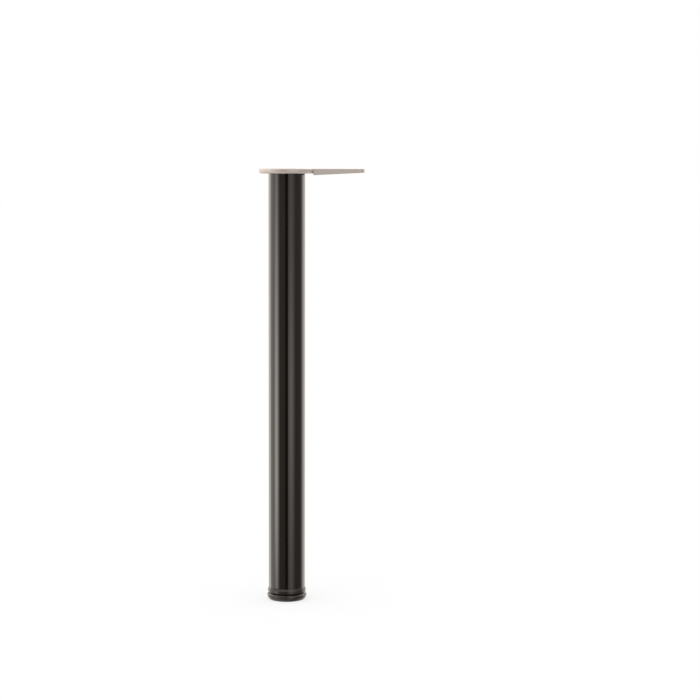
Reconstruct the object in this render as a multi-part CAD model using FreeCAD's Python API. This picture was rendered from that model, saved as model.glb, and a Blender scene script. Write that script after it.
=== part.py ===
import FreeCAD, Part
import math
import os

# Height adjustable table leg. Millimetres, +Z up, origin in the middle of the floor face.
# The leg stands on the Z axis and the arm of the mounting plate points along +X.

# Overall sizes
LEG_HEIGHT = 715.0  # floor to the underside of the tabletop, foot screwed fully in
TRAVEL = 20.0  # how far the foot screws out
TUBE_R = 30.0
TUBE_WALL = 1.5
TUBE_EDGE = 0.3  # broken edge at both ends of the tube

# Clearances
SEAT_GAP = 0.3  # between bodies that move past each other
FIT_GAP = 0.05  # radial play of a running fit
SPIGOT_GAP = 0.2  # radial play of a part pushed into the tube
CRUSH_GAP = 0.02  # crush rib to tube wall
POCKET_GAP = 0.1  # nut or hex head to its pocket, each side
HEAD_GAP = 0.1  # clamp screw head to its washer

# Mounting plate, die cast
PLATE_FLANGE = 15.6  # the disc is this much wider than the tube, all round
PLATE_DEEP = 7.5
PLATE_RIM = 3.6  # width of the rim round the hollow
PLATE_FLOOR = 2.5
PLATE_ROUND = 4.0  # rounding of the lower rim
HUB_R = 6.5
HUB_HOLE_R = 2.0
RIB = 2.5
CROSS_RIBS = 4  # count, the one under the arm is left out
RIM_CORNER = 0.5

# Arm of the plate
ROOT_GAP = 1.2  # the root end of the arm follows the disc this far outside it
ARM_ROOT_HALF = 17.0  # half width where the arm leaves the disc
ARM_ROOT_DEEP = 10.0
ARM_TIP_DEEP = 6.0
ARM_LONG = 70.0  # from the root end to the middle of the tip hole
TIP_R = 11.0
ARM_WALL = 3.0
ARM_FLOOR = 2.5
ARM_ROUND = 1.6
GROOVE_TOP = 3.4  # depth at which the groove between disc and arm ends

# Holes for the wood screws
SCREW_OUT = 6.0  # middle of a hole to the wall of the tube
SCREW_HOLES = 4  # count
SCREW_START = 45.0  # angle of the first one
HOLE_R = 2.5
SINK_R = 4.7
SINK_DEEP = 2.2
BOSS_R = 6.2

# Spigot
SPIGOT_LONG = 22.0
SPIGOT_WALL = 3.5
SPIGOT_FROM = 50.0  # degrees, to 360 less this
SPIGOT_LEAD = 1.5
GUSSET = 9.0
GUSSET_ANGLES = (90, 135, 180, 225, 270)
LAP = 0.5  # how far a rib or a web runs into the wall that it joins

# Clamp screw and washer, M5
SCREW_DEEP = 4.7  # axis of the screw under the tabletop
SCREW_R = 2.5
SCREW_LONG = 40.0
SCREW_HEAD_R = 4.25
SCREW_HEAD_LONG = 5.0
SCREW_SOCKET = 4.0
SCREW_SOCKET_DEEP = 2.6
SCREW_HOLE_R = 2.75
SCREW_TIP = 0.7
SCREW_EDGE = 0.5
WASHER_R = 4.5
WASHER_THICK = 1.0
WASHER_HOLE_R = 2.7
BEARING_LONG = 3.6  # wall that the head pulls against
SLOT_HALF = 4.7  # half width of the slot that the key lies in
SLOT_LONG = 47.6  # from the bearing wall to the round end of the slot
SLOT_WALL = 2.5

# Clamp jaw
JAW_HALF_ANGLE = 40.0
JAW_WALL = 4.0
JAW_LIFT = 2.5  # how far the jaw backs off
NECK_GAP = 0.45  # neck to the inside of the jaw's arc
NECK_LONG = 10.0
NECK_HALF = 9.0
FLANGE_LIP = 2.0  # the flange is longer than the neck at both ends
FLANGE_HALF = 12.5
FLANGE_TOP = 0.6
JAW_SHOULDER = 6.5
JAW_RIB = 4.0
JAW_RIB_LONG = 12.0
GRIP_GROOVES = 5  # count
GRIP_DEEP = 0.5
GRIP_WIDE = 1.1

# Bush in the foot of the tube
COLLAR_BOTTOM = 13.0
COLLAR_TOP = 21.0  # the tube stands on it
COLLAR_PROUD = 1.4  # the collar is this much wider than the tube, all round
BEVEL_DROP = 3.5
COLLAR_EDGE = 0.5
BUSH_LONG = 30.0  # part of the bush that is in the tube
BUSH_WALL = 2.5
BUSH_BOSS_R = 11.0
BUSH_DECK = 3.5  # thickness over the nut
BUSH_LEAD = 1.2
BUSH_WEB = 2.2
WEB_COUNT = 6
CRUSH_RIB_COUNT = 8
CRUSH_RIB_WIDE = 2.0
CRUSH_RIB_TOP = 4.0
BUSH_RECESS_IN = 13.5
BUSH_RECESS_WALL = 3.4
BUSH_RECESS_DEEP = 5.0
NUT_SUNK = 0.5  # underside of the nut above the underside of the collar
SPINDLE_HOLE_R = 5.4

# Nuts and spindle, M10
HEX = 17.0
NUT_LONG = 8.0
NUT_BEVEL = 0.8
STOP_NUT_LONG = 5.0
SPINDLE_R = 5.0
SPINDLE_TIP = 1.0
SPINDLE_PROUD = 1.4
HEX_HEAD_LONG = 5.0

# Foot
FOOT_TOP = 11.6
FOOT_TOP_PROUD = 0.2  # the top edge of the foot outside the wall of the tube
FOOT_PROUD = 2.6  # the widest part of the foot outside the wall of the tube
FOOT_WIDE_Z = 7.0  # height of the widest part
FOOT_BULGE = 0.9  # bulge of the side above the widest part
FOOT_LOW_BULGE = 0.6  # bulge of the side below it
FOOT_LIFT = 0.4  # the rim of the foot stays clear of the floor
FOOT_ROUND = 4.1  # how far the side runs in below the widest part
FOOT_EDGE = 0.6
FOOT_HUB_R = 12.5
FOOT_WEB = 3.2  # plastic between hex head and hub top
FOOT_WALL = 2.6
FOOT_ROOF = 2.4
FOOT_RIB_COUNT = 6
FOOT_RIB = 2.0

# Glide pad
PAD_IN = 1.0  # edge of the pad inside the lower edge of the foot
PAD_THICK = 3.0
PAD_EDGE = 0.5
PAD_BEAD = 0.5
PAD_BEAD_FROM = 1.5
PAD_BEAD_TO = 2.3
PAD_TREAD = 6.5  # width of the outer ring that stands on the floor
PAD_CENTRE_R = 9.0
PAD_HOLLOW_DEEP = 1.2
PAD_RIB_COUNT = 8
PAD_RIB = 2.0
PIVOT_R = 4.0

# Derived sizes
BORE_R = TUBE_R - TUBE_WALL
TUBE_TOP = LEG_HEIGHT - PLATE_DEEP
PLATE_R = TUBE_R + PLATE_FLANGE
ARM_ROOT_R = PLATE_R + ROOT_GAP
TIP_X = ARM_ROOT_R + ARM_LONG
SCREW_RING_R = TUBE_R + SCREW_OUT
COLLAR_R = TUBE_R + COLLAR_PROUD
FOOT_TOP_R = TUBE_R + FOOT_TOP_PROUD
FOOT_R = TUBE_R + FOOT_PROUD
FOOT_LOW_R = FOOT_R - FOOT_ROUND
PAD_R = FOOT_LOW_R - PAD_IN
HOLLOW_DEEP = PLATE_DEEP - PLATE_FLOOR
SPIGOT_R = BORE_R - SPIGOT_GAP
SPIGOT_IN = SPIGOT_R - SPIGOT_WALL
JAW_R = BORE_R - FIT_GAP
JAW_IN = JAW_R - JAW_WALL
NECK_TO = JAW_IN - NECK_GAP
NECK_FROM = NECK_TO - NECK_LONG
FLANGE_FROM = NECK_FROM - FLANGE_LIP
FLANGE_TO = NECK_TO + FLANGE_LIP
BEARING_X = ARM_ROOT_R + BEARING_LONG
SLOT_END = BEARING_X + SLOT_LONG
SPINE_HALF = SLOT_HALF + SLOT_WALL
DEEP = 2 * ARM_ROOT_DEEP  # deeper than any part of the plate but the spigot
GUIDE_IN = FLANGE_HALF + SEAT_GAP
GUIDE_FROM = FLANGE_FROM - JAW_LIFT - 2 * SEAT_GAP
GUIDE_TO = FLANGE_TO + 2 * SEAT_GAP
HEAD_X = BEARING_X + WASHER_THICK + HEAD_GAP
BUSH_R = BORE_R - SPIGOT_GAP
BUSH_TOP = COLLAR_TOP + BUSH_LONG
NUT_BOTTOM = COLLAR_BOTTOM + NUT_SUNK
NUT_TOP = NUT_BOTTOM + NUT_LONG
HUB_TOP = COLLAR_BOTTOM - SEAT_GAP
HEAD_TOP = HUB_TOP - FOOT_WEB
HEAD_BOTTOM = HEAD_TOP - HEX_HEAD_LONG
STOP_Z = BUSH_TOP + TRAVEL + SEAT_GAP
SPINDLE_END = STOP_Z + STOP_NUT_LONG + SPINDLE_PROUD
FAR = 4 * PLATE_R  # further out than any part
FULL_ANGLE = 360.0  # degrees


def v(x, y, z):
    return FreeCAD.Vector(x, y, z)


def under(depth):
    return LEG_HEIGHT - depth


def rod(r, z0, z1, x=0.0, y=0.0):
    return Part.makeCylinder(r, z1 - z0, v(x, y, z0))


def tube(r_out, r_in, z0, z1):
    return rod(r_out, z0, z1).cut(rod(r_in, z0, z1))


def block(x0, x1, y0, y1, z0, z1):
    return Part.makeBox(x1 - x0, y1 - y0, z1 - z0, v(x0, y0, z0))


def turned(points):
    corners = [v(r, 0, z) for r, z in points]
    wire = Part.makePolygon(corners + [corners[0]])
    return Part.Face(wire).revolve(v(0, 0, 0), v(0, 0, 1), FULL_ANGLE)


def hexagon(across, z0, z1):
    r = across / math.sqrt(3)
    ring = [math.radians(60 * i) for i in range(7)]
    wire = Part.makePolygon([v(r * math.cos(a), r * math.sin(a), z0) for a in ring])
    return Part.Face(wire).extrude(v(0, 0, z1 - z0))


def around(shape, angle):
    copy = shape.copy()
    copy.rotate(v(0, 0, 0), v(0, 0, 1), angle)
    return copy


def spokes(count, wide, r0, r1, z0, z1, start=0.0):
    spoke = block(r0, r1, -wide / 2, wide / 2, z0, z1)
    return [around(spoke, start + FULL_ANGLE * i / count) for i in range(count)]


def sector(half_angle, z0, z1):
    # a wedge about the +X axis, wide enough to cut the spigot or the jaw
    a = math.radians(half_angle)
    far = v(FAR, FAR * math.tan(a), z0)
    near = v(FAR, -FAR * math.tan(a), z0)
    wire = Part.makePolygon([v(0, 0, z0), near, far, v(0, 0, z0)])
    return Part.Face(wire).extrude(v(0, 0, z1 - z0))


def one(shape):
    clean = shape.removeSplitter()
    assert len(clean.Solids) == 1, len(clean.Solids)
    return clean.Solids[0]


# Angle of the flanks of the arm, so that they run tangent into the tip
def flank_angle():
    run = TIP_X - ARM_ROOT_R
    return math.atan2(ARM_ROOT_HALF, run) - math.asin(TIP_R / math.hypot(run, ARM_ROOT_HALF))


def arm_plan(inset, x0):
    # outline of the arm, moved inwards by inset, as an upright prism
    a = flank_angle()
    nx, ny = math.sin(a), math.cos(a)
    tip = TIP_R - inset
    half = ARM_ROOT_HALF - inset / ny - (x0 - ARM_ROOT_R) * math.tan(a)
    z = under(0)
    upper = v(TIP_X + tip * nx, tip * ny, z)
    lower = v(TIP_X + tip * nx, -tip * ny, z)
    root_up, root_low = v(x0, half, z), v(x0, -half, z)
    edges = [
        Part.makeLine(root_low, lower),
        Part.Arc(lower, v(TIP_X + tip, 0, z), upper).toShape(),
        Part.makeLine(upper, root_up),
        Part.makeLine(root_up, root_low),
    ]
    return Part.Face(Part.Wire(edges)).extrude(v(0, 0, -DEEP))


def arm_depth(x):
    share = (x - ARM_ROOT_R) / (TIP_X + TIP_R - ARM_ROOT_R)
    return ARM_ROOT_DEEP + share * (ARM_TIP_DEEP - ARM_ROOT_DEEP)


def arm_wedge(less, x0):
    # side view of the arm, thinner by less at the underside
    x1 = TIP_X + TIP_R + TIP_R
    corners = [(x0, 0.0), (x1, 0.0), (x1, arm_depth(x1) - less), (x0, arm_depth(x0) - less)]
    points = [v(x, -FAR / 2, under(d)) for x, d in corners]
    return Part.Face(Part.makePolygon(points + [points[0]])).extrude(v(0, FAR, 0))


def arm_body():
    start = SCREW_RING_R
    arm = arm_plan(0.0, start).common(arm_wedge(0.0, start))
    arm = arm.cut(rod(ARM_ROOT_R, under(DEEP), under(GROOVE_TOP)))
    lower = [e for e in arm.Edges if is_lower_flank(e)]
    return arm.makeFillet(ARM_ROUND, lower)


def is_lower_flank(edge):
    # edges of the sloped underside, but not the one at the root end
    ends = [w.Point for w in edge.Vertexes]
    on_slope = all(abs(p.z - under(arm_depth(p.x))) < 0.01 for p in ends)
    return on_slope and max(p.x for p in ends) > SLOT_END


def arm_pockets():
    # two hollows beside the slot and one round the boss of the tip hole
    hollow = arm_plan(ARM_WALL, ARM_ROOT_R).common(arm_wedge(ARM_FLOOR, ARM_ROOT_R))
    hollow = hollow.cut(rod(ARM_ROOT_R + ARM_WALL, under(DEEP), under(0)))
    spine = block(0, SLOT_END + SLOT_WALL, -SPINE_HALF, SPINE_HALF, under(DEEP), under(0))
    tip = rod(BOSS_R, under(DEEP), under(0), TIP_X)
    bar = block(SLOT_END, TIP_X, -RIB / 2, RIB / 2, under(DEEP), under(0))
    return hollow.cut([spine, tip, bar])


def disc():
    r, top, low = PLATE_R, under(0), under(PLATE_DEEP)
    mid = PLATE_ROUND * (1 - math.sqrt(0.5))
    edges = [
        Part.makeLine(v(0, 0, top), v(r - RIM_CORNER, 0, top)),
        Part.makeLine(v(r - RIM_CORNER, 0, top), v(r, 0, top - RIM_CORNER)),
        Part.makeLine(v(r, 0, top - RIM_CORNER), v(r, 0, low + PLATE_ROUND)),
        Part.Arc(
            v(r, 0, low + PLATE_ROUND), v(r - mid, 0, low + mid), v(r - PLATE_ROUND, 0, low)
        ).toShape(),
        Part.makeLine(v(r - PLATE_ROUND, 0, low), v(0, 0, low)),
        Part.makeLine(v(0, 0, low), v(0, 0, top)),
    ]
    return Part.Face(Part.Wire(edges)).revolve(v(0, 0, 0), v(0, 0, 1), FULL_ANGLE)


def screw_places():
    step = FULL_ANGLE / SCREW_HOLES
    angles = [math.radians(SCREW_START + step * i) for i in range(SCREW_HOLES)]
    return [(SCREW_RING_R * math.cos(a), SCREW_RING_R * math.sin(a)) for a in angles]


def sunk_hole(x, y, face_deep):
    z = under(face_deep)
    hole = rod(HOLE_R, under(DEEP), under(-1), x, y)
    cone = Part.makeCone(SINK_R, HOLE_R, SINK_DEEP, v(x, y, z))
    return hole.fuse([cone, rod(SINK_R, z - PLATE_DEEP, z, x, y)])


def disc_hollow():
    # the hollow that the tabletop closes, with its ribs, bosses and guide left standing
    z0, z1 = under(HOLLOW_DEEP), under(0)
    outer = GUIDE_IN + RIB
    guide = block(GUIDE_FROM, GUIDE_TO, -outer, outer, z0, z1)
    room = block(GUIDE_FROM, GUIDE_TO, -GUIDE_IN, GUIDE_IN, z0, z1)
    cross = spokes(CROSS_RIBS, RIB, 0, PLATE_R, z0, z1)[1:]
    diagonal = spokes(SCREW_HOLES, RIB, 0, PLATE_R, z0, z1, SCREW_START)
    front = block(0, GUIDE_FROM, -outer, outer, z0, z1).cut(rod(HUB_R, z0, z1))
    ribs = cross + [rib.cut(front) for rib in diagonal]
    bosses = [rod(BOSS_R, z0, z1, x, y) for x, y in screw_places()]
    spine = block(GUIDE_TO + RIB, PLATE_R, -SPINE_HALF, SPINE_HALF, z0, z1)
    standing = guide.fuse(ribs + bosses + [spine, rod(HUB_R, z0, z1)])
    hollow = rod(PLATE_R - PLATE_RIM, z0, z1)
    return hollow.cut(standing.cut(room))


def spigot_ring(r_in, r_out, z1):
    # a ring with a tapered lead-in, from z1 down to the end of the spigot
    z0 = under(PLATE_DEEP + SPIGOT_LONG)
    return turned(
        [
            (r_in, z1),
            (r_out, z1),
            (r_out, z0 + 2 * SPIGOT_LEAD),
            (r_out - SPIGOT_LEAD, z0),
            (r_in, z0),
        ]
    )


def spigot():
    top, low = under(PLATE_DEEP), under(PLATE_DEEP + SPIGOT_LONG)
    ring = spigot_ring(SPIGOT_IN, SPIGOT_R, top).cut(sector(SPIGOT_FROM, low - 1, top + 1))
    edge = SPIGOT_IN + LAP
    corners = [(edge, top), (edge - GUSSET, top), (edge, top - 2 * GUSSET)]
    wire = Part.makePolygon([v(r, -RIB / 2, z) for r, z in corners + corners[:1]])
    gusset = Part.Face(wire).extrude(v(0, RIB, 0))
    return [ring] + [around(gusset, a) for a in GUSSET_ANGLES]


def screw_way():
    # way of the shank over the edge of the tube, open below as far as the arm
    z = under(SCREW_DEEP)
    bore = Part.makeCylinder(SCREW_HOLE_R, BEARING_X, v(FLANGE_TO, 0, z), v(1, 0, 0))
    open_part = block(
        NECK_TO, ARM_ROOT_R, -SCREW_HOLE_R, SCREW_HOLE_R, under(DEEP), z
    ).common(rod(ARM_ROOT_R, under(DEEP), under(0)))
    return bore.cut(block(BEARING_X, FAR, -FAR, FAR, under(DEEP), under(-1))).fuse(open_part)


def plate():
    bridge = block(
        SCREW_RING_R, ARM_ROOT_R + LAP, -SPINE_HALF, SPINE_HALF, under(PLATE_DEEP), under(0)
    )
    body = disc().fuse([arm_body(), bridge] + spigot())
    body = body.cut(disc_hollow()).cut(arm_pockets())
    # slot for the key and the screw head, open above and below
    z0, z1 = under(DEEP), under(-1)
    slot = block(BEARING_X, SLOT_END - SLOT_HALF, -SLOT_HALF, SLOT_HALF, z0, z1)
    slot_end = rod(SLOT_HALF, z0, z1, SLOT_END - SLOT_HALF)
    half = NECK_HALF + SEAT_GAP
    back = NECK_FROM - JAW_LIFT - SEAT_GAP
    mouth = block(back, NECK_TO + SEAT_GAP, -half, half, z0, z1)
    holes = [sunk_hole(x, y, PLATE_DEEP) for x, y in screw_places()]
    holes.append(sunk_hole(TIP_X, 0, arm_depth(TIP_X)))
    holes.append(rod(HUB_HOLE_R, z0, z1))
    return one(body.cut([slot, slot_end, screw_way(), mouth] + holes))


def jaw():
    top, low = under(PLATE_DEEP + SEAT_GAP), under(PLATE_DEEP + SPIGOT_LONG)
    ring = spigot_ring(JAW_IN, JAW_R, top)
    step = (top - low - 2 * SPIGOT_LEAD) / (GRIP_GROOVES + 1)
    for i in range(GRIP_GROOVES):
        z = top - (i + 1) * step
        half = GRIP_WIDE / 2
        ring = ring.cut(tube(TUBE_R, JAW_R - GRIP_DEEP, z - half, z + half))
    arc = ring.common(sector(JAW_HALF_ANGLE, low - 1, top + 1))
    shoulder_z = top - JAW_SHOULDER
    edge = JAW_IN + LAP
    shoulder = block(NECK_FROM, JAW_R, -NECK_HALF, NECK_HALF, shoulder_z, top)
    shoulder = shoulder.common(rod(edge, low, top))
    neck = block(NECK_FROM, NECK_TO, -NECK_HALF, NECK_HALF, top - LAP, under(FLANGE_TOP))
    z0 = under(HOLLOW_DEEP - SEAT_GAP)
    flange = block(FLANGE_FROM, FLANGE_TO, -FLANGE_HALF, FLANGE_HALF, z0, under(FLANGE_TOP))
    corners = [(NECK_FROM, shoulder_z), (edge, shoulder_z), (edge, shoulder_z - JAW_RIB_LONG)]
    wire = Part.makePolygon([v(x, -JAW_RIB / 2, z) for x, z in corners + corners[:1]])
    rib = Part.Face(wire).extrude(v(0, JAW_RIB, 0))
    thread = Part.makeCylinder(SCREW_R + FIT_GAP, JAW_R, v(0, 0, under(SCREW_DEEP)), v(1, 0, 0))
    return one(arc.fuse([shoulder, neck, flange, rib]).cut(thread))


def lay_along_x(shape, x):
    # a part drawn upwards from the origin is laid along -X, its lower end at x
    shape.rotate(v(0, 0, 0), v(0, 1, 0), -90)
    shape.translate(v(x, 0, under(SCREW_DEEP)))
    return shape


def clamp_screw():
    edge = SCREW_EDGE
    shank = turned(
        [
            (0, 0),
            (SCREW_R, 0),
            (SCREW_R, SCREW_LONG - SCREW_TIP),
            (SCREW_R - SCREW_TIP, SCREW_LONG),
            (0, SCREW_LONG),
        ]
    )
    head = turned(
        [
            (0, 0),
            (SCREW_HEAD_R, 0),
            (SCREW_HEAD_R, -SCREW_HEAD_LONG + edge),
            (SCREW_HEAD_R - edge, -SCREW_HEAD_LONG),
            (0, -SCREW_HEAD_LONG),
        ]
    )
    socket = hexagon(SCREW_SOCKET, -SCREW_HEAD_LONG - 1, -SCREW_HEAD_LONG + SCREW_SOCKET_DEEP)
    return one(lay_along_x(shank.fuse(head).cut(socket), HEAD_X))


def clamp_washer():
    ring = tube(WASHER_R, WASHER_HOLE_R, 0, WASHER_THICK)
    return one(lay_along_x(ring, BEARING_X + WASHER_THICK))


def leg_tube():
    e = TUBE_EDGE
    return one(
        turned(
            [
                (BORE_R + e, COLLAR_TOP),
                (TUBE_R - e, COLLAR_TOP),
                (TUBE_R, COLLAR_TOP + e),
                (TUBE_R, TUBE_TOP - e),
                (TUBE_R - e, TUBE_TOP),
                (BORE_R + e, TUBE_TOP),
                (BORE_R, TUBE_TOP - e),
                (BORE_R, COLLAR_TOP + e),
            ]
        )
    )


def foot_bush():
    deck = NUT_TOP + BUSH_DECK
    e = COLLAR_EDGE
    outside = turned(
        [
            (0, COLLAR_BOTTOM),
            (COLLAR_R - e, COLLAR_BOTTOM),
            (COLLAR_R, COLLAR_BOTTOM + e),
            (COLLAR_R, COLLAR_TOP - BEVEL_DROP),
            (TUBE_R, COLLAR_TOP),
            (BUSH_R, COLLAR_TOP),
            (BUSH_R, BUSH_TOP - 2 * BUSH_LEAD),
            (BUSH_R - BUSH_LEAD, BUSH_TOP),
            (0, BUSH_TOP),
        ]
    )
    wall_in = BUSH_R - BUSH_WALL
    room = tube(wall_in, BUSH_BOSS_R, deck, BUSH_TOP + 1)
    room = room.cut(spokes(WEB_COUNT, BUSH_WEB, 0, FAR, deck - 1, BUSH_TOP + 2))
    recess_top = COLLAR_BOTTOM + BUSH_RECESS_DEEP
    recess = tube(COLLAR_R - BUSH_RECESS_WALL, BUSH_RECESS_IN, COLLAR_BOTTOM - 1, recess_top)
    between = FULL_ANGLE / WEB_COUNT / 2
    recess = recess.cut(
        spokes(WEB_COUNT, BUSH_WEB, 0, FAR, COLLAR_BOTTOM - 2, recess_top + 1, between)
    )
    pocket = hexagon(HEX + 2 * POCKET_GAP, COLLAR_BOTTOM - 1, NUT_TOP)
    bore = rod(SPINDLE_HOLE_R, NUT_TOP - 1, BUSH_TOP + 1)
    body = outside.cut([room, recess, pocket, bore])
    rib_ring = tube(BORE_R - CRUSH_GAP, BUSH_R - LAP, COLLAR_TOP + 1, BUSH_TOP - CRUSH_RIB_TOP)
    start = FULL_ANGLE / CRUSH_RIB_COUNT / 2
    keep = spokes(CRUSH_RIB_COUNT, CRUSH_RIB_WIDE, 0, FAR, COLLAR_TOP, BUSH_TOP, start)
    return one(body.fuse([rib_ring.common(k) for k in keep]))


def nut(z0, z1):
    # a hex nut with both ends bevelled
    r = HEX / math.sqrt(3)
    bevelled = turned(
        [
            (0, z0),
            (r - 2 * NUT_BEVEL, z0),
            (r, z0 + NUT_BEVEL),
            (r, z1 - NUT_BEVEL),
            (r - 2 * NUT_BEVEL, z1),
            (0, z1),
        ]
    )
    body = hexagon(HEX, z0, z1).common(bevelled)
    return one(body.cut(rod(SPINDLE_R + FIT_GAP, z0 - 1, z1 + 1)))


def foot_spindle():
    head = hexagon(HEX, HEAD_BOTTOM, HEAD_TOP)
    shank = turned(
        [
            (0, HEAD_TOP - 1),
            (SPINDLE_R, HEAD_TOP - 1),
            (SPINDLE_R, SPINDLE_END - SPINDLE_TIP),
            (SPINDLE_R - SPINDLE_TIP, SPINDLE_END),
            (0, SPINDLE_END),
        ]
    )
    return one(head.fuse(shank))


def foot_body():
    shoulder = FOOT_TOP - FOOT_EDGE
    rise = FOOT_WIDE_Z - FOOT_LIFT
    low = v(FOOT_LOW_R, 0, FOOT_LIFT)
    out = FOOT_LOW_BULGE / math.hypot(FOOT_ROUND, rise)
    low_mid = v(
        FOOT_R - FOOT_ROUND / 2 + rise * out, 0, FOOT_WIDE_Z - rise / 2 - FOOT_ROUND * out
    )
    wide = v(FOOT_R, 0, FOOT_WIDE_Z)
    side_mid = v((FOOT_R + FOOT_TOP_R) / 2 + FOOT_BULGE / 2, 0, (FOOT_WIDE_Z + shoulder) / 2 + LAP)
    neck = v(FOOT_TOP_R, 0, shoulder)
    flat = [
        neck,
        v(FOOT_TOP_R - FOOT_EDGE, 0, FOOT_TOP),
        v(FOOT_HUB_R, 0, FOOT_TOP),
        v(FOOT_HUB_R, 0, HUB_TOP),
        v(0, 0, HUB_TOP),
        v(0, 0, FOOT_LIFT),
        low,
    ]
    edges = [Part.Arc(low, low_mid, wide).toShape(), Part.Arc(wide, side_mid, neck).toShape()]
    edges += [Part.makeLine(a, b) for a, b in zip(flat, flat[1:])]
    body = Part.Face(Part.Wire(edges)).revolve(v(0, 0, 0), v(0, 0, 1), FULL_ANGLE)
    roof = PAD_THICK + SEAT_GAP
    recess_r = PAD_R + SEAT_GAP
    recess = rod(recess_r, FOOT_LIFT - 1, roof)
    groove = tube(
        recess_r + PAD_BEAD, recess_r - 1, PAD_BEAD_FROM - SEAT_GAP, PAD_BEAD_TO + SEAT_GAP
    )
    core = tube(recess_r - FOOT_WALL, FOOT_HUB_R, roof - 1, FOOT_TOP - FOOT_ROOF)
    core = core.cut(spokes(FOOT_RIB_COUNT, FOOT_RIB, 0, FAR, roof - 2, FOOT_TOP))
    pocket = hexagon(HEX + 2 * POCKET_GAP, roof - 1, HEAD_TOP)
    bore = rod(SPINDLE_R + FIT_GAP, HEAD_TOP - 1, HUB_TOP + 1)
    return one(body.cut([recess, groove, core, pocket, bore]))


def glide_pad():
    pad = turned(
        [
            (0, 0),
            (PAD_R - PAD_EDGE, 0),
            (PAD_R, PAD_EDGE),
            (PAD_R, PAD_BEAD_FROM),
            (PAD_R + PAD_BEAD, (PAD_BEAD_FROM + PAD_BEAD_TO) / 2),
            (PAD_R, PAD_BEAD_TO),
            (PAD_R, PAD_THICK),
            (0, PAD_THICK),
        ]
    )
    # eight shallow hollows in the underside, between the tread and the centre
    tread_in = PAD_R - PAD_EDGE - PAD_TREAD
    hollow = tube(tread_in, PAD_CENTRE_R, -1, PAD_HOLLOW_DEEP)
    hollow = hollow.cut(spokes(PAD_RIB_COUNT, PAD_RIB, 0, FAR, -2, PAD_THICK))
    return one(pad.cut(hollow).fuse(rod(PIVOT_R, PAD_HOLLOW_DEEP, HEAD_BOTTOM - SEAT_GAP)))


PIECES = {
    "mounting_plate": plate,
    "clamp_jaw": jaw,
    "clamp_screw": clamp_screw,
    "clamp_washer": clamp_washer,
    "leg_tube": leg_tube,
    "foot_bush": foot_bush,
    "spindle_nut": lambda: nut(NUT_BOTTOM, NUT_TOP),
    "foot_body": foot_body,
    "foot_spindle": foot_spindle,
    "stop_nut": lambda: nut(STOP_Z, STOP_Z + STOP_NUT_LONG),
    "glide_pad": glide_pad,
}

os.makedirs("parts", exist_ok=True)
for name, make in PIECES.items():
    make().exportStep(f"parts/{name}.step")
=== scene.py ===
import math

import bpy
from mathutils import Matrix, Vector


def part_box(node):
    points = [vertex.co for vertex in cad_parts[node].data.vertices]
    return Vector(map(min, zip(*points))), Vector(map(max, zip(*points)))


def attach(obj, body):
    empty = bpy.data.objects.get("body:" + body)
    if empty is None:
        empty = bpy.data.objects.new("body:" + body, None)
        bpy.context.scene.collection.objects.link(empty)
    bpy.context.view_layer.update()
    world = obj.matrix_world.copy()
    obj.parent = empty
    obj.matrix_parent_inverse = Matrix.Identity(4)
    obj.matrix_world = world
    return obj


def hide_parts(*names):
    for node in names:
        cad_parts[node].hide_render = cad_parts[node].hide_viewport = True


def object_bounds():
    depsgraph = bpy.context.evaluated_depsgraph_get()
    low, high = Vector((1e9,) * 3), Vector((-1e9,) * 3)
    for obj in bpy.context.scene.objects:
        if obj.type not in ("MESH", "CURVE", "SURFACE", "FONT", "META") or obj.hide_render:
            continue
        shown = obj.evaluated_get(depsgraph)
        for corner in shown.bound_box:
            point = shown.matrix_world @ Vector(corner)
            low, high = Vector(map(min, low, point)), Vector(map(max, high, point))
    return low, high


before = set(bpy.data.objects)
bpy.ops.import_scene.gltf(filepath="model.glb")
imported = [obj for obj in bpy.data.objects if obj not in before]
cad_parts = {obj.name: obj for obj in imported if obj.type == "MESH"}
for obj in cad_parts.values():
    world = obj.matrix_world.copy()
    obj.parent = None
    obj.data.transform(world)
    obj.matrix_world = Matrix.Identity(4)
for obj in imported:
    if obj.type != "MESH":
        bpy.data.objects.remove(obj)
first_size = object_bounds()

scene = bpy.context.scene
scene.view_settings.view_transform = "Standard"

MM = 0.001
TURN = 2 * math.pi
DEGREES = 360 / TURN

# Where the photo was taken from: metres and degrees, and millimetres for lens and sensor
CAMERA_AT = (0.10424, -3.45, 0.7329)
CAMERA_PITCH = -5.23
CAMERA_ROLL = 0.15
CAMERA_LENS = 107.84
CAMERA_SENSOR = 36.0
CAMERA_CLIP = (0.05, 100.0)

# Tube, in millimetres
TUBE_WALL = 1.5
TUBE_EDGE = 0.25
TUBE_END_RING = 1.0
TUBE_SEGMENTS = 224

# Threads, in millimetres. A thread starts a little inside its head.
M10_R = 5.0
M10_PITCH = 1.5
M10_DEPTH = 0.92
M10_SEGMENTS = 72
M5_R = 2.5
M5_PITCH = 0.8
M5_DEPTH = 0.49
M5_SEGMENTS = 48
THREAD_SUNK = 0.5

# One pitch of a thread is a root, a flank, a crest and a flank
ROOT_SHARE = 0.25
FLANK_SHARE = 0.3125
CREST_SHARE = 0.125
ROWS_A_TURN = 4.0
TURNS_BEFORE = 2.0
TURNS_AFTER = 1.0

# Hex head of the spindle, in millimetres, chamfered at 30 degrees
HEX_HEAD_LONG = 5.0
HEX_FACE_IN = 0.3
HEX_SEGMENTS = 96
CHAMFER_SLOPE = 0.58

# Socket head of the clamp screw, in millimetres
SCREW_HEAD_LONG = 5.0
SOCKET_ACROSS = 4.0
SOCKET_DEEP = 2.6
SOCKET_CHAMFER = 0.2
KNURLS = 36
KNURL_DEEP = 0.16
KNURL_FADE = 0.02

# Meshes: steps in a rounded corner, the angle in degrees from which an edge is sharp, and the
# distance in metres within which points are welded
ARC_STEPS = 5
SHARP_ANGLE = 30.0
WELD = 2e-6

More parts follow.
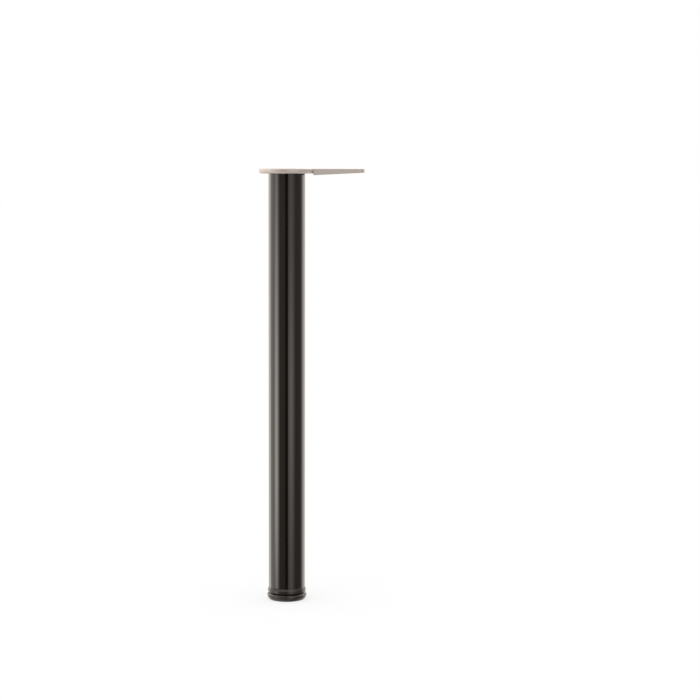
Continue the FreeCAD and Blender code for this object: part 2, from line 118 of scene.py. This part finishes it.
# Materials: most values of a noise lie between these two
NOISE_LOW = 0.3
NOISE_HIGH = 0.7
BEVEL_SAMPLES = 6

# Softboxes that the gloss of the tube shows in the photo, in degrees of azimuth, 0 towards the
# camera and positive to its right: left edge, right edge, softness of each edge, and level
LEFT_BOX = (-80.5, -57.0, 16.0, 15.0, 5.4)
LEFT_WASH = (-111.5, -88.0, 12.0, 11.0, 1.25)
LEFT_EDGE = (-145.0, -122.0, 6.0, 5.0, 1.0)
FRONT_FLAG = (-10.0, 8.5, 5.0, 2.0, 1.0)
RIGHT_BOX = (10.0, 48.0, 4.0, 14.0, 1.1)
RIGHT_BOX_CORE = (21.0, 39.0, 5.0, 6.0, 0.4)
RIGHT_EDGE = (119.0, 140.0, 6.0, 7.0, 0.85)
BACK_STRIP = (158.0, 171.0, 4.0, 5.0, 1.35)
FLOOR_LIT = (-85.0, -50.0, 16.0, 15.0, 0.9)
FLOOR_SHADED = (55.0, 95.0, 15.0, 15.0, 0.5)

# Ramps over azimuth: from, to, and the value at each
LEFT_BACK = (-118.0, -103.0, 0.95, 0.0)
RIGHT_BACK = (95.0, 118.0, 0.0, 0.95)
BACK_FLAG = (153.0, 163.0, 1.0, 0.2)

# Ramps over the height above the horizon, in degrees
LEFT_BOX_FOOT = (-15.0, -8.5, 0.0, 1.0)
LEFT_BOX_TOP = (-8.0, 4.0, 1.0, 0.2)
RIGHT_BOX_MIDDLE = -6.8
RIGHT_BOX_FADE = (0.0, 6.0, 1.0, 0.45)
ROOM = (-13.0, -1.0, 0.21, 0.31)
FLOOR_SHARE = (-26.0, -15.0, 0.7, 0.0)
FLOOR_LEVEL = 0.7
GLOW_RISE = (18.0, 32.0, 0.0, 1.0)
GLOW_FALL = (38.0, 54.0, 0.0, 0.6)
STUDIO_TINT = (1.0, 0.92, 0.845)

# Floor and lamp, in metres and watts
FLOOR_FAR = 30.0
FLOOR_GLOW = 0.72
LAMP_SIZE = 2.0
LAMP_POWER = 8.0
LAMP_AT = (-1.6, -2.2, 2.6)
LAMP_AIM = (0.0, 0.0, 0.3)


# Node helpers

class Nodes:
    """Adds nodes to a tree, laid out in rows, and links their inputs in one line."""

    ROW = 12
    STEP_ACROSS = 180
    STEP_DOWN = -260

    def __init__(self, tree):
        self.tree = tree
        self.count = 0

    def add(self, kind, inputs=None, **settings):
        node = self.tree.nodes.new(kind)
        self.count += 1
        down, across = divmod(self.count, self.ROW)
        node.location = (across * self.STEP_ACROSS, down * self.STEP_DOWN)
        for name, value in settings.items():
            setattr(node, name, value)
        for key, value in (inputs or {}).items():
            self.put(node.inputs[key], value)
        return node

    def put(self, socket, value):
        if isinstance(value, bpy.types.Node):
            value = value.outputs[0]
        if isinstance(value, bpy.types.NodeSocket):
            self.tree.links.new(value, socket)
        else:
            socket.default_value = value

    def math(self, operation, a, b=0.0, clamp=False):
        node = self.add("ShaderNodeMath", {0: a, 1: b}, operation=operation, use_clamp=clamp)
        return node.outputs[0]

    def remap(self, value, low, high, out_low=0.0, out_high=1.0, smooth=False):
        kind = "SMOOTHSTEP" if smooth else "LINEAR"
        inputs = {0: value, 1: low, 2: high, 3: out_low, 4: out_high}
        return self.add("ShaderNodeMapRange", inputs, interpolation_type=kind).outputs[0]


def colour(r, g, b):
    return (r, g, b, 1.0)


WHITE = colour(1.0, 1.0, 1.0)


# Materials

def start_material(name):
    material = bpy.data.materials.new(name)
    material.use_nodes = True
    tree = material.node_tree
    shader = tree.nodes["Principled BSDF"]
    return material, Nodes(tree), shader


def noise(n, where, scale, detail, rough=0.5):
    inputs = {"Vector": where, "Scale": scale, "Detail": detail, "Roughness": rough}
    return n.add("ShaderNodeTexNoise", inputs).outputs[0]


def spread(n, cloud, low, high):
    # stretches a noise from low to high
    return n.remap(cloud, NOISE_LOW, NOISE_HIGH, low, high)


def mottled(n, cloud, dark, light):
    # inputs 6 and 7 and output 2 are the mix node's colours
    inputs = {0: cloud, 6: colour(*dark), 7: colour(*light)}
    return n.add("ShaderNodeMix", inputs, data_type="RGBA").outputs[2]


def bump(n, height, strength, distance, normal=None):
    inputs = {"Height": height, "Strength": strength, "Distance": distance}
    if normal is not None:
        inputs["Normal"] = normal
    return n.add("ShaderNodeBump", inputs).outputs[0]


def soft_edges(n, radius):
    # the light that a small rounding catches along every edge
    return n.add("ShaderNodeBevel", {"Radius": radius}, samples=BEVEL_SAMPLES).outputs[0]


def lacquer():
    # gloss black lacquer over steel: a clear coat with a faint orange peel
    material, n, shader = start_material("black_lacquer")
    place = n.add("ShaderNodeTexCoord").outputs["Object"]
    shader.inputs["Base Color"].default_value = colour(0.0065, 0.005, 0.0042)
    shader.inputs["Metallic"].default_value = 0.0
    shader.inputs["IOR"].default_value = 1.5
    shader.inputs["Coat Weight"].default_value = 0.35
    shader.inputs["Coat Roughness"].default_value = 0.04
    wear = noise(n, place, scale=60.0, detail=3.0)
    n.put(shader.inputs["Roughness"], spread(n, wear, 0.05, 0.085))
    peel = noise(n, place, scale=420.0, detail=1.0)
    n.put(shader.inputs["Normal"], bump(n, peel, strength=0.05, distance=0.2 * MM))
    return material


def moulded_black():
    # black moulded plastic, a little duller than the tube, with a fine grain
    material, n, shader = start_material("black_plastic")
    place = n.add("ShaderNodeTexCoord").outputs["Object"]
    shader.inputs["Metallic"].default_value = 0.0
    shader.inputs["IOR"].default_value = 1.5
    cloud = noise(n, place, scale=90.0, detail=3.0)
    shades = mottled(n, cloud, (0.0135, 0.0115, 0.01), (0.019, 0.0165, 0.0145))
    n.put(shader.inputs["Base Color"], shades)
    n.put(shader.inputs["Roughness"], spread(n, cloud, 0.16, 0.23))
    grain = noise(n, place, scale=2600.0, detail=2.0)
    relief = bump(n, grain, strength=0.1, distance=0.1 * MM, normal=soft_edges(n, 0.3 * MM))
    n.put(shader.inputs["Normal"], relief)
    return material


def metal(name, base, rough, grain_scale, grain_strength, mottle, sheen=1.0, edge=0.2):
    # cast or plated metal, mottled and grained; edge is the rounding in millimetres
    material, n, shader = start_material(name)
    place = n.add("ShaderNodeTexCoord").outputs["Object"]
    shader.inputs["Metallic"].default_value = sheen
    cloud = noise(n, place, scale=70.0, detail=4.0)
    darker = [c * (1.0 - mottle) for c in base]
    n.put(shader.inputs["Base Color"], mottled(n, cloud, darker, base))
    n.put(shader.inputs["Roughness"], spread(n, cloud, *rough))
    grain = noise(n, place, grain_scale, detail=3.0, rough=0.6)
    relief = bump(n, grain, grain_strength, distance=0.1 * MM, normal=soft_edges(n, edge * MM))
    n.put(shader.inputs["Normal"], relief)
    return material


def pad_plastic():
    # matt moulded plastic of the pad under the foot
    material, n, shader = start_material("pad_plastic")
    place = n.add("ShaderNodeTexCoord").outputs["Object"]
    cloud = noise(n, place, scale=120.0, detail=3.0)
    shades = mottled(n, cloud, (0.04, 0.04, 0.04), (0.06, 0.06, 0.06))
    n.put(shader.inputs["Base Color"], shades)
    shader.inputs["Roughness"].default_value = 0.55
    grain = noise(n, place, scale=1500.0, detail=2.0)
    n.put(shader.inputs["Normal"], bump(n, grain, strength=0.3, distance=0.1 * MM))
    return material


LACQUER = lacquer()
PLASTIC = moulded_black()
CAST = metal(
    "die_cast",
    base=(0.588, 0.528, 0.487),
    rough=(0.44, 0.54),
    grain_scale=1300.0,
    grain_strength=0.3,
    mottle=0.08,
    sheen=0.6,
    edge=0.35,
)
RAW_CAST = metal(
    "raw_casting",
    base=(0.45, 0.45, 0.46),
    rough=(0.42, 0.55),
    grain_scale=900.0,
    grain_strength=0.5,
    mottle=0.15,
    edge=0.35,
)
ZINC = metal(
    "zinc_plated_steel",
    base=(0.68, 0.69, 0.71),
    rough=(0.2, 0.32),
    grain_scale=1800.0,
    grain_strength=0.15,
    mottle=0.1,
)
PAD = pad_plastic()


# Mesh helpers

def shade(mesh):
    mesh.polygons.foreach_set("use_smooth", [True] * len(mesh.polygons))
    mesh.set_sharp_from_angle(angle=math.radians(SHARP_ANGLE))


def add_object(name, verts, faces, material):
    mesh = bpy.data.meshes.new(name)
    mesh.from_pydata(verts, [], faces)
    mesh.validate()
    mesh.update()
    shade(mesh)
    mesh.materials.append(material)
    piece = bpy.data.objects.new(name, mesh)
    scene.collection.objects.link(piece)
    return piece


def rounded(points):
    """A profile in mm, (r, z) or (r, z, radius): corners with a radius become arcs."""
    out = []
    for i, p in enumerate(points):
        if len(p) == 2:
            out.append(p)
            continue
        here = Vector(p[:2])
        back = (Vector(points[i - 1][:2]) - here).normalized()
        on = (Vector(points[(i + 1) % len(points)][:2]) - here).normalized()
        half = back.angle(on) / 2
        reach = p[2] / math.tan(half)
        middle = here + (back + on).normalized() * (p[2] / math.sin(half))
        first, last = here + back * reach - middle, here + on * reach - middle
        for k in range(ARC_STEPS + 1):
            angle = first.angle_signed(last) * (k / ARC_STEPS)
            out.append(tuple(middle + Matrix.Rotation(-angle, 2) @ first))
    return out


def lathe(name, points, material, segments):
    """A closed profile in mm turned round the Z axis.

    A point is (r, z), or a function that gives (r, z) at an angle. Points at r 0 become poles.
    """
    verts, rings = [], []
    for point in points:
        if not callable(point) and point[0] == 0:
            rings.append([len(verts)] * segments)
            verts.append((0.0, 0.0, point[1] * MM))
            continue
        rings.append(list(range(len(verts), len(verts) + segments)))
        for k in range(segments):
            angle = TURN * k / segments
            r, z = point(angle) if callable(point) else point
            verts.append((r * MM * math.cos(angle), r * MM * math.sin(angle), z * MM))
    faces = []
    for low, high in zip(rings, rings[1:] + rings[:1]):
        for k in range(segments):
            j = (k + 1) % segments
            quad = [low[k], low[j], high[j], high[k]]
            face = [q for i, q in enumerate(quad) if q != quad[i - 1]]
            if len(face) > 2:
                faces.append(face)
    return add_object(name, verts, faces, material)


def hex_radius(across, angle):
    # outline of a hexagon with a corner on the X axis
    return across / 2 / math.cos(angle % (TURN / 6) - TURN / 12)


# Threads: geometry nodes roll a grid up along a helix

def thread_tree():
    """Four rows of the grid make one turn: root, root, crest, crest.

    Both ends are chamfered.
    """
    tree = bpy.data.node_groups.new("screw_thread", "GeometryNodeTree")
    sockets = tree.interface
    sockets.new_socket("Geometry", in_out="INPUT", socket_type="NodeSocketGeometry")
    for name in ("Pitch", "Root Radius", "Crest Radius", "Start", "End"):
        sockets.new_socket(name, in_out="INPUT", socket_type="NodeSocketFloat")
    sockets.new_socket("Segments", in_out="INPUT", socket_type="NodeSocketInt")
    sockets.new_socket("Material", in_out="INPUT", socket_type="NodeSocketMaterial")
    sockets.new_socket("Geometry", in_out="OUTPUT", socket_type="NodeSocketGeometry")
    n = Nodes(tree)
    given = n.add("NodeGroupInput").outputs
    pitch, root, crest = given["Pitch"], given["Root Radius"], given["Crest Radius"]
    start, end, segments = given["Start"], given["End"], given["Segments"]

    # the turns past both ends are pressed flat onto them, so that the seam closes
    turns = n.math("DIVIDE", n.math("SUBTRACT", end, start), pitch)
    turns = n.math("ADD", n.math("CEIL", turns), TURNS_BEFORE + TURNS_AFTER)
    rows = n.math("MULTIPLY", turns, ROWS_A_TURN)
    columns = n.math("ADD", segments, 1.0)
    grid = n.add("GeometryNodeMeshGrid", {"Vertices X": columns, "Vertices Y": rows})
    index = n.add("GeometryNodeInputIndex")
    column = n.math("FLOOR", n.math("DIVIDE", n.math("ADD", index, 0.5), rows))
    row = n.math("SUBTRACT", index, n.math("MULTIPLY", column, rows))
    share = n.math("DIVIDE", column, segments)
    step = n.math("MODULO", row, ROWS_A_TURN)
    turn = n.math("DIVIDE", n.math("SUBTRACT", row, step), ROWS_A_TURN)

    # height, in pitches above the start
    past_root = n.math("MULTIPLY", n.math("MINIMUM", step, 1.0), ROOT_SHARE)
    climb = n.math("ADD", turn, past_root)
    on_crest = n.math("SUBTRACT", step, 1.0, clamp=True)
    climb = n.math("ADD", climb, n.math("MULTIPLY", on_crest, FLANK_SHARE))
    past_crest = n.math("SUBTRACT", step, 2.0, clamp=True)
    climb = n.math("ADD", climb, n.math("MULTIPLY", past_crest, CREST_SHARE))
    climb = n.math("ADD", climb, n.math("SUBTRACT", share, TURNS_BEFORE))
    z = n.math("ADD", start, n.math("MULTIPLY", climb, pitch))
    z = n.math("MINIMUM", n.math("MAXIMUM", z, start), end)

    # radius, cut back near both ends
    near_end = n.math("MINIMUM", n.math("SUBTRACT", z, start), n.math("SUBTRACT", end, z))
    r = n.math("ADD", root, n.math("MULTIPLY", on_crest, n.math("SUBTRACT", crest, root)))
    r = n.math("MINIMUM", r, n.math("ADD", root, near_end))
    # the first and the last row close the ends
    inner_row = n.math("MINIMUM", row, n.math("SUBTRACT", n.math("SUBTRACT", rows, 1.0), row))
    r = n.math("MULTIPLY", r, n.math("MINIMUM", inner_row, 1.0, clamp=True))

    angle = n.math("MULTIPLY", share, TURN)
    x = n.math("MULTIPLY", r, n.math("COSINE", angle))
    y = n.math("MULTIPLY", r, n.math("SINE", angle))
    place = n.add("ShaderNodeCombineXYZ", {0: x, 1: y, 2: z})
    rolled = n.add("GeometryNodeSetPosition", {"Geometry": grid, "Position": place})
    closed = n.add("GeometryNodeMergeByDistance", {"Geometry": rolled, "Distance": WELD})
    joined = n.add("GeometryNodeJoinGeometry", {0: given["Geometry"]})
    n.put(joined.inputs[0], closed)
    real = n.add("GeometryNodeRealizeInstances", {"Geometry": joined})
    inputs = {"Geometry": real, "Material": given["Material"]}
    painted = n.add("GeometryNodeSetMaterial", inputs)
    n.add("NodeGroupOutput", {0: painted})
    return tree


THREAD = thread_tree()


def add_thread(piece, values):
    """Grows a thread onto the piece, sizes in mm, and leaves a plain mesh."""
    modifier = piece.modifiers.new("thread", "NODES")
    modifier.node_group = THREAD
    for item in THREAD.interface.items_tree:
        if item.in_out == "INPUT" and item.name in values:
            value = values[item.name]
            modifier[item.identifier] = value * MM if isinstance(value, float) else value
    depsgraph = bpy.context.evaluated_depsgraph_get()
    mesh = bpy.data.meshes.new_from_object(piece.evaluated_get(depsgraph))
    piece.modifiers.clear()
    piece.data = mesh
    shade(mesh)


# Pieces that replace CAD nodes, with sizes read from the CAD to stay in step with it

def in_mm(node):
    low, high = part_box(node)
    return low / MM, high / MM


tube_low, tube_high = in_mm("leg_tube")
spindle_low, spindle_high = in_mm("foot_spindle")
screw_low, screw_high = in_mm("clamp_screw")


def make_tube():
    # a ring near each end keeps the shading of the long wall straight
    outer, inner = tube_high.x, tube_high.x - TUBE_WALL
    z0, z1 = tube_low.z, tube_high.z
    profile = rounded(
        [
            (inner, z0, TUBE_EDGE),
            (outer, z0, TUBE_EDGE),
            (outer, z0 + TUBE_END_RING),
            (outer, z1 - TUBE_END_RING),
            (outer, z1, TUBE_EDGE),
            (inner, z1, TUBE_EDGE),
            (inner, z1 - TUBE_END_RING),
            (inner, z0 + TUBE_END_RING),
        ]
    )
    tube = lathe("lacquered_tube", profile, LACQUER, TUBE_SEGMENTS)
    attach(tube, "leg")
    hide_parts("leg_tube")


def make_spindle():
    # hex head with the usual chamfers, and a full M10 thread
    across = spindle_high.y - spindle_low.y
    z0, z1 = spindle_low.z, spindle_low.z + HEX_HEAD_LONG
    face_r = across / 2 - HEX_FACE_IN

    def low_edge(angle):
        r = hex_radius(across, angle)
        return r, z0 + (r - face_r) * CHAMFER_SLOPE

    def high_edge(angle):
        r = hex_radius(across, angle)
        return r, z1 - (r - face_r) * CHAMFER_SLOPE

    rings = [(0, z0), (face_r, z0), low_edge, high_edge, (face_r, z1), (0, z1)]
    spindle = lathe("threaded_spindle", rings, ZINC, HEX_SEGMENTS)
    add_thread(
        spindle,
        {
            "Pitch": M10_PITCH,
            "Root Radius": M10_R - M10_DEPTH,
            "Crest Radius": M10_R,
            "Start": z1 - THREAD_SUNK,
            "End": spindle_high.z,
            "Segments": M10_SEGMENTS,
            "Material": ZINC,
        },
    )
    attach(spindle, "foot")
    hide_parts("foot_spindle")


def make_clamp_screw():
    # drawn upright with the head below, then laid along the arm
    head_r = (screw_high.z - screw_low.z) / 2
    end = -SCREW_HEAD_LONG
    floor = end + SOCKET_DEEP

    def knurl(depth, z):
        # ridges round the head
        def point(angle):
            ridge = abs((angle * KNURLS / TURN) % 1.0 - 0.5) * 2
            return head_r - depth * ridge, z

        return point

    def socket(z, wider=0.0):
        return lambda angle: (hex_radius(SOCKET_ACROSS, angle) + wider, z)

    rings = [
        # the hex socket, with a chamfer at its mouth
        (0, floor),
        socket(floor),
        socket(end + SOCKET_CHAMFER),
        socket(end, SOCKET_CHAMFER),
        # the rounded edge of the head
        (head_r - 0.6, end),
        (head_r - 0.25, end + 0.12),
        (head_r - 0.06, end + 0.4),
        # its knurled side, which fades out at both ends
        knurl(KNURL_FADE, end + 0.6),
        knurl(KNURL_DEEP, end + 0.9),
        knurl(KNURL_DEEP, -0.8),
        knurl(KNURL_FADE, -0.5),
        # the edge and the face that bears on the washer
        (head_r - 0.05, -0.25),
        (head_r - 0.3, 0),
        (0, 0),
    ]
    screw = lathe("clamp_screw_m5", rings, ZINC, 4 * KNURLS)
    add_thread(
        screw,
        {
            "Pitch": M5_PITCH,
            "Root Radius": M5_R - M5_DEPTH,
            "Crest Radius": M5_R,
            "Start": -THREAD_SUNK,
            "End": screw_high.x - screw_low.x - SCREW_HEAD_LONG,
            "Segments": M5_SEGMENTS,
            "Material": ZINC,
        },
    )
    under_head = Vector((screw_high.x - SCREW_HEAD_LONG, 0, (screw_low.z + screw_high.z) / 2))
    lay = Matrix.Rotation(math.radians(-90), 4, "Y")
    screw.data.transform(Matrix.Translation(under_head * MM) @ lay)
    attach(screw, "clamp_screw")
    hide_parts("clamp_screw")


make_tube()
make_spindle()
make_clamp_screw()

# The other CAD nodes are kept, with these materials
for node, material in {
    "mounting_plate": CAST,
    "clamp_jaw": RAW_CAST,
    "clamp_washer": ZINC,
    "foot_bush": PLASTIC,
    "spindle_nut": ZINC,
    "foot_body": PLASTIC,
    "stop_nut": ZINC,
    "glide_pad": PAD,
}.items():
    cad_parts[node].data.materials.clear()
    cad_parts[node].data.materials.append(material)


# Studio

def studio():
    """A white world that gloss sees as the photo's softboxes."""
    world = bpy.data.worlds.new("studio")
    scene.world = world
    world.use_nodes = True
    tree = world.node_tree
    tree.nodes.clear()
    n = Nodes(tree)
    out = n.add("ShaderNodeOutputWorld")
    way = n.add("ShaderNodeTexCoord").outputs["Generated"]
    x, y, z = n.add("ShaderNodeSeparateXYZ", {0: way}).outputs
    azimuth = n.math("ARCTAN2", x, n.math("MULTIPLY", y, -1.0))
    azimuth = n.math("MULTIPLY", azimuth, DEGREES)
    height = n.math("MULTIPLY", n.math("ARCSINE", z), DEGREES)

    def panel(left, right, soft_left, soft_right, level):
        rise = n.remap(azimuth, left - soft_left, left + soft_left, smooth=True)
        fall = n.remap(azimuth, right - soft_right, right + soft_right, 1.0, 0.0, smooth=True)
        return n.math("MULTIPLY", n.math("MULTIPLY", rise, fall), level)

    # both boxes are brightest near the height that the middle of the tube mirrors
    left_foot = n.remap(height, *LEFT_BOX_FOOT, smooth=True)
    left_top = n.remap(height, *LEFT_BOX_TOP, smooth=True)
    left_box = n.math("MULTIPLY", n.math("MULTIPLY", panel(*LEFT_BOX), left_foot), left_top)
    off_middle = n.math("ABSOLUTE", n.math("SUBTRACT", height, RIGHT_BOX_MIDDLE))
    right_box = n.math("ADD", panel(*RIGHT_BOX), panel(*RIGHT_BOX_CORE))
    right_box = n.math("MULTIPLY", right_box, n.remap(off_middle, *RIGHT_BOX_FADE, smooth=True))
    parts = [
        left_box,
        right_box,
        panel(*LEFT_WASH),
        n.remap(azimuth, *LEFT_BACK, smooth=True),
        panel(*LEFT_EDGE),
        n.remap(azimuth, *RIGHT_BACK, smooth=True),
        panel(*RIGHT_EDGE),
    ]
    flag = n.math("SUBTRACT", 1.0, panel(*FRONT_FLAG))
    level = n.math("MULTIPLY", flag, n.remap(height, *ROOM))
    for part in parts:
        level = n.math("ADD", level, part)
    # straight behind stands a dark flag with a strip light, for the views from the back
    astern = n.remap(n.math("ABSOLUTE", azimuth), *BACK_FLAG, smooth=True)
    level = n.math("ADD", n.math("MULTIPLY", level, astern), panel(*BACK_STRIP))
    # the white floor, seen by surfaces that face down, is brighter on the lamp's side
    floor_share = n.remap(height, *FLOOR_SHARE, smooth=True)
    floor_light = n.math("ADD", panel(*FLOOR_LIT), FLOOR_LEVEL)
    floor_light = n.math("SUBTRACT", floor_light, panel(*FLOOR_SHADED))
    level = n.math(
        "ADD",
        n.math("MULTIPLY", level, n.math("SUBTRACT", 1.0, floor_share)),
        n.math("MULTIPLY", floor_share, floor_light),
    )
    # a soft light above the horizon, weaker straight overhead
    glow = n.math(
        "SUBTRACT",
        n.remap(height, *GLOW_RISE, smooth=True),
        n.remap(height, *GLOW_FALL, smooth=True),
    )
    level = n.math("ADD", level, glow)
    tint = n.add("ShaderNodeCombineColor", dict(enumerate(STUDIO_TINT)))
    mirrored = n.add("ShaderNodeBackground", {"Color": tint, "Strength": level})
    plain = n.add("ShaderNodeBackground", {"Color": WHITE, "Strength": 1.0})
    glossy = n.add("ShaderNodeLightPath").outputs["Is Glossy Ray"]
    mix = n.add("ShaderNodeMixShader", {0: glossy, 1: plain, 2: mirrored})
    n.put(out.inputs["Surface"], mix)


def add_floor():
    material, n, shader = start_material("floor_white")
    shader.inputs["Base Color"].default_value = WHITE
    shader.inputs["Roughness"].default_value = 1.0
    shader.inputs["Specular IOR Level"].default_value = 0.0
    # the camera sees a fainter shadow than the floor really has
    glow = n.add("ShaderNodeEmission", {"Color": WHITE, "Strength": 1.0})
    camera_ray = n.add("ShaderNodeLightPath").outputs["Is Camera Ray"]
    share = n.math("MULTIPLY", camera_ray, FLOOR_GLOW)
    mix = n.add("ShaderNodeMixShader", {0: share, 1: shader, 2: glow})
    n.put(material.node_tree.nodes["Material Output"].inputs["Surface"], mix)

    far, z = FLOOR_FAR, first_size[0][2]
    corners = [(-far, -far, z), (far, -far, z), (far, far, z), (-far, far, z)]
    floor = add_object("floor", corners, [(0, 1, 2, 3)], material)
    floor.visible_glossy = False
    # the pad stands on the floor, so the floor stays under it while the foot screws out
    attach(floor, "glide")


def add_lamp():
    data = bpy.data.lights.new("soft_key", "AREA")
    data.shape = "SQUARE"
    data.size = LAMP_SIZE
    data.energy = LAMP_POWER
    lamp = bpy.data.objects.new("soft_key", data)
    lamp.location = LAMP_AT
    aim = Vector(LAMP_AIM) - lamp.location
    lamp.rotation_euler = aim.to_track_quat("-Z", "Y").to_euler()
    lamp.visible_glossy = False
    scene.collection.objects.link(lamp)


def add_camera():
    data = bpy.data.cameras.new("photo_camera")
    data.lens = CAMERA_LENS
    data.sensor_width = CAMERA_SENSOR
    data.sensor_fit = "HORIZONTAL"
    data.clip_start, data.clip_end = CAMERA_CLIP
    camera = bpy.data.objects.new("photo_camera", data)
    tilt = Matrix.Rotation(math.radians(90 + CAMERA_PITCH), 4, "X")
    roll = Matrix.Rotation(math.radians(CAMERA_ROLL), 4, "Z")
    camera.matrix_world = Matrix.Translation(CAMERA_AT) @ tilt @ roll
    scene.collection.objects.link(camera)
    scene.camera = camera


studio()
add_floor()
add_lamp()
add_camera()
